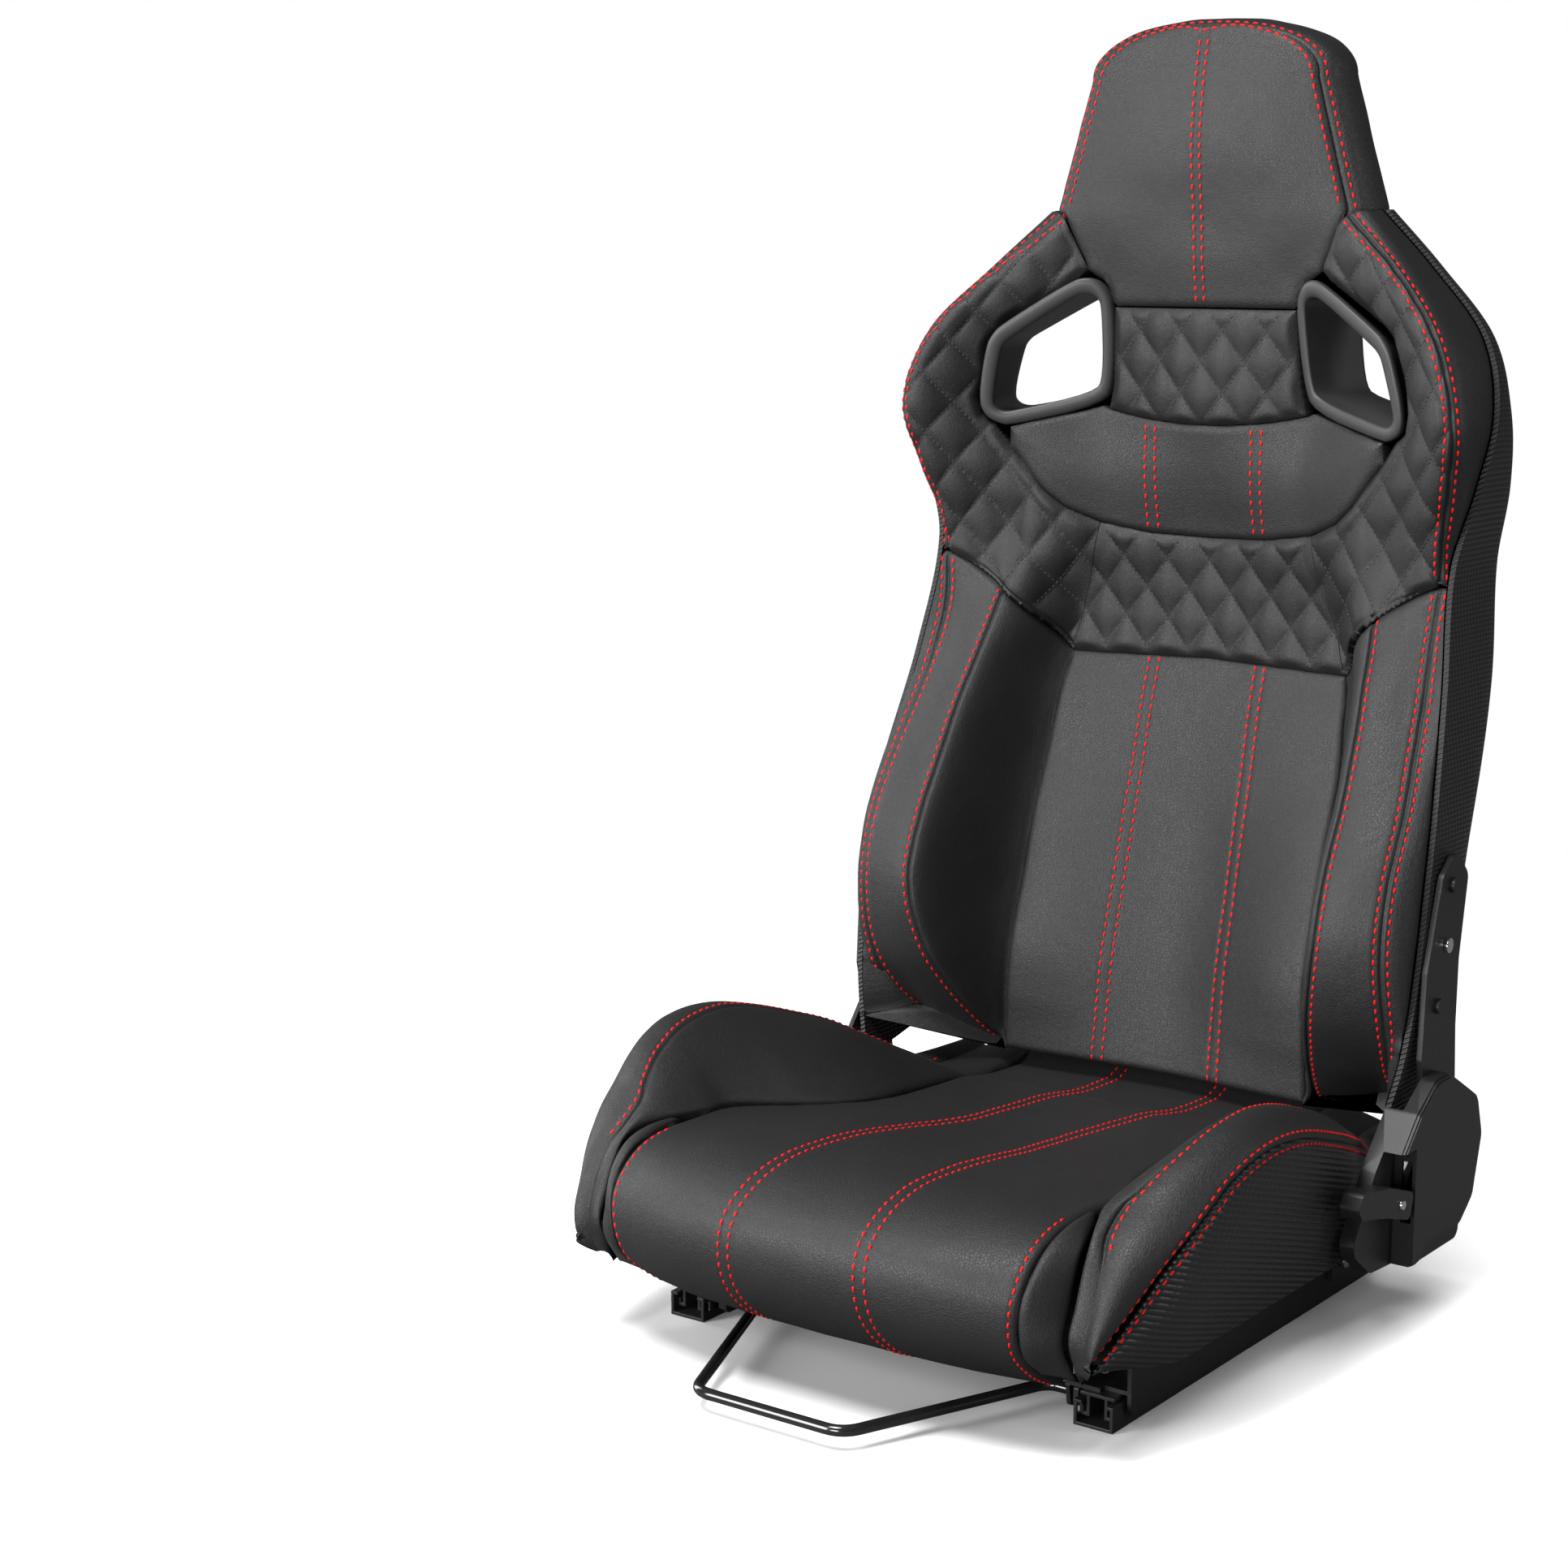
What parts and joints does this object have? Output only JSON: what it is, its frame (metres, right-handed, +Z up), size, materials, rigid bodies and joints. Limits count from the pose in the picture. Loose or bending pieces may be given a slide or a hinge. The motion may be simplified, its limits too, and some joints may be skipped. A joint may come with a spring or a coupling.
{
  "type": "reclining racing seat",
  "caption": "Reclining sport bucket seat with quilted shoulders, harness openings, recliner lever and sliding floor rails.",
  "frame": {"origin": "middle of the four floor bolts, on the underside of the rails", "axes": "+Z up, the seat faces -Y, +X is the side with the recliner cover and lever"},
  "size_m": [0.5231, 0.6467, 0.9307],
  "materials": {
    "black_leather": "grained synthetic leather, soft sheen, red stitching",
    "quilted_leather": "diamond-quilted synthetic leather",
    "carbon_vinyl": "carbon-look embossed vinyl",
    "black_plastic": "satin moulded",
    "grey_plastic": "fine-textured moulded",
    "black_steel": "satin black powder coat",
    "zinc_steel": "zinc plated",
    "bearing_steel": "polished",
    "bright_screw": "bright plated",
    "gloss_wire": "gloss black"
  },
  "bodies": {
    "floor_rails": {"lower_rail_left": "zinc_steel", "lower_rail_right": "zinc_steel", "rail_balls": "bearing_steel"},
    "seat_base": {"upper_rail_left": "zinc_steel", "upper_rail_right": "zinc_steel", "side_frame_left": "black_steel", "side_frame_right": "black_steel", "front_cross_tube": "black_steel", "rear_cross_tube": "black_steel", "seat_springs": "zinc_steel", "rail_bolts": "zinc_steel", "cushion_pad": "black_leather", "cushion_infill_left": "black_leather", "cushion_infill_right": "black_leather", "thigh_bolster_left": "black_leather", "thigh_bolster_right": "black_leather", "valance_left": "carbon_vinyl", "valance_right": "carbon_vinyl", "recliner_bracket": "black_steel", "pivot_bracket": "black_steel", "recliner_cover": "black_plastic", "recliner_spring": "zinc_steel", "pivot_bolts": "zinc_steel"},
    "backrest": {"back_hoop": "black_steel", "back_cross_tubes": "black_steel", "back_springs": "zinc_steel", "recliner_arm": "black_steel", "pivot_arm": "black_steel", "arm_screws": "bright_screw", "recliner_sector": "zinc_steel", "back_pad": "black_leather", "back_bolster_left": "black_leather", "back_bolster_right": "black_leather", "quilt_band": "quilted_leather", "yoke_left": "quilted_leather", "yoke_right": "quilted_leather", "crescent_pad": "black_leather", "neck_pad": "quilted_leather", "head_pad": "black_leather", "back_shell": "carbon_vinyl", "head_shell": "black_leather", "harness_bezel_left": "grey_plastic", "harness_bezel_right": "grey_plastic"},
    "recliner_lever_body": {"recliner_lever": "black_steel", "lever_grip": "black_plastic", "lever_screw": "bright_screw", "recliner_pawl": "zinc_steel"},
    "slide_handle": {"slide_bail": "gloss_wire", "rail_latches": "zinc_steel"}
  },
  "joints": [
    {"name": "seat_slide", "type": "slide", "parent": "floor_rails", "child": "seat_base", "axis": [0, 1, 0], "range_m": [-0.09, 0.09]},
    {"name": "backrest_recline", "type": "hinge", "parent": "seat_base", "child": "backrest", "pos_m": [0, 0.15, 0.148], "axis": [1, 0, 0], "range_deg": [-30, 25]},
    {"name": "lever_lift", "type": "hinge", "parent": "seat_base", "child": "recliner_lever_body", "pos_m": [0.25, 0.098, 0.092], "axis": [1, 0, 0], "range_deg": [-15, 0], "stiffness_Nm_per_rad": 1, "springref_deg": 20.05},
    {"name": "handle_lift", "type": "hinge", "parent": "seat_base", "child": "slide_handle", "pos_m": [0, -0.182, 0.014], "axis": [1, 0, 0], "range_deg": [-8, 0], "stiffness_Nm_per_rad": 3, "springref_deg": 20.05}
  ]
}
